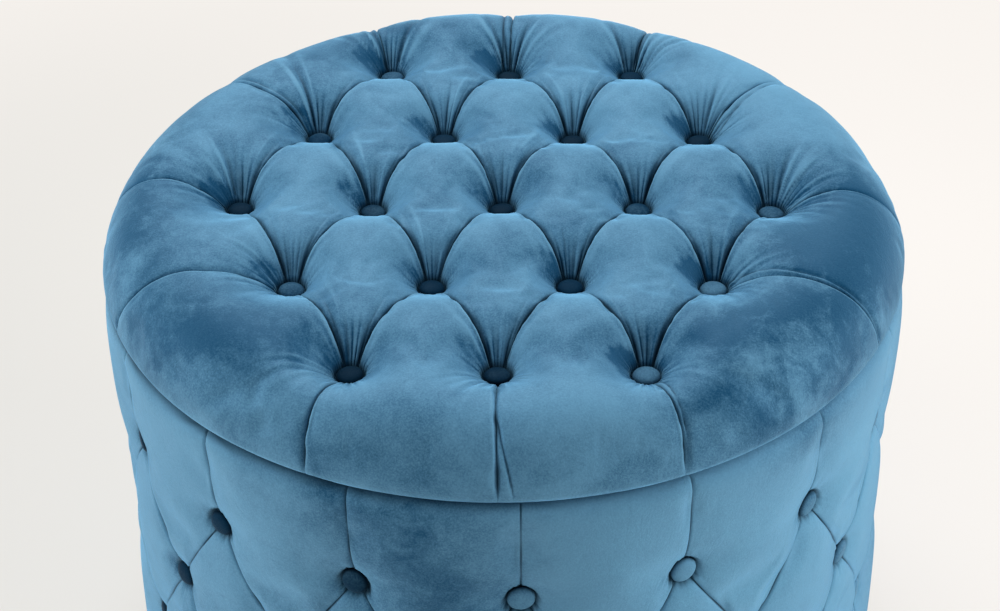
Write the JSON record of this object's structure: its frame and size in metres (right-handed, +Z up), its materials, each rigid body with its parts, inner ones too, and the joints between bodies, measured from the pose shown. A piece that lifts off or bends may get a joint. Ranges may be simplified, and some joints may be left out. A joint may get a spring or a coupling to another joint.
{
  "type": "storage tuffet",
  "caption": "Round storage tuffet: a drum padded in deep-buttoned velvet, hollow inside, with a buttoned padded lid that lifts off.",
  "frame": {"origin": "on the floor, under the middle of the drum", "axes": "+Z up; -Y is the front, towards a column of side buttons; the lid sits turned 3.6 degrees clockwise seen from above"},
  "size_m": [0.5982, 0.5982, 0.4304],
  "materials": {
    "velvet": "short-pile upholstery velvet, teal blue",
    "plywood": "bare sanded plywood and batten",
    "lining": "charcoal non-woven lining cloth",
    "black_plastic": "moulded black plastic",
    "steel": "zinc-plated steel"
  },
  "bodies": {
    "base": {"bottom_board": "plywood", "wall_board": "plywood", "top_ring": "plywood", "post_1": "plywood", "post_2": "plywood", "post_3": "plywood", "post_4": "plywood", "post_5": "plywood", "post_6": "plywood", "side_cushion": "velvet", "inner_liner": "lining", "floor_panel": "lining", "dust_cover": "lining", "foot_1": "black_plastic", "foot_2": "black_plastic", "foot_3": "black_plastic", "foot_4": "black_plastic", "foot_screw_1": "steel", "foot_screw_2": "steel", "foot_screw_3": "steel", "foot_screw_4": "steel", "side_button_1": "velvet", "side_button_2": "velvet", "side_button_3": "velvet", "side_button_4": "velvet", "side_button_5": "velvet", "side_button_6": "velvet", "side_button_7": "velvet", "side_button_8": "velvet", "side_button_9": "velvet", "side_button_10": "velvet", "side_button_11": "velvet", "side_button_12": "velvet", "side_button_13": "velvet", "side_button_14": "velvet", "side_button_15": "velvet", "side_button_16": "velvet"},
    "lid": {"lid_board": "plywood", "lid_cushion": "velvet", "locating_board": "plywood", "lid_lining": "lining", "lid_button_1": "velvet", "lid_button_2": "velvet", "lid_button_3": "velvet", "lid_button_4": "velvet", "lid_button_5": "velvet", "lid_button_6": "velvet", "lid_button_7": "velvet", "lid_button_8": "velvet", "lid_button_9": "velvet", "lid_button_10": "velvet", "lid_button_11": "velvet", "lid_button_12": "velvet", "lid_button_13": "velvet", "lid_button_14": "velvet", "lid_button_15": "velvet", "lid_button_16": "velvet", "lid_button_17": "velvet", "lid_button_18": "velvet", "lid_button_19": "velvet"}
  },
  "joints": [
    {"name": "lid_lift", "type": "slide", "parent": "base", "child": "lid", "axis": [0, 0, 1], "range_m": [0, 0.3]}
  ]
}
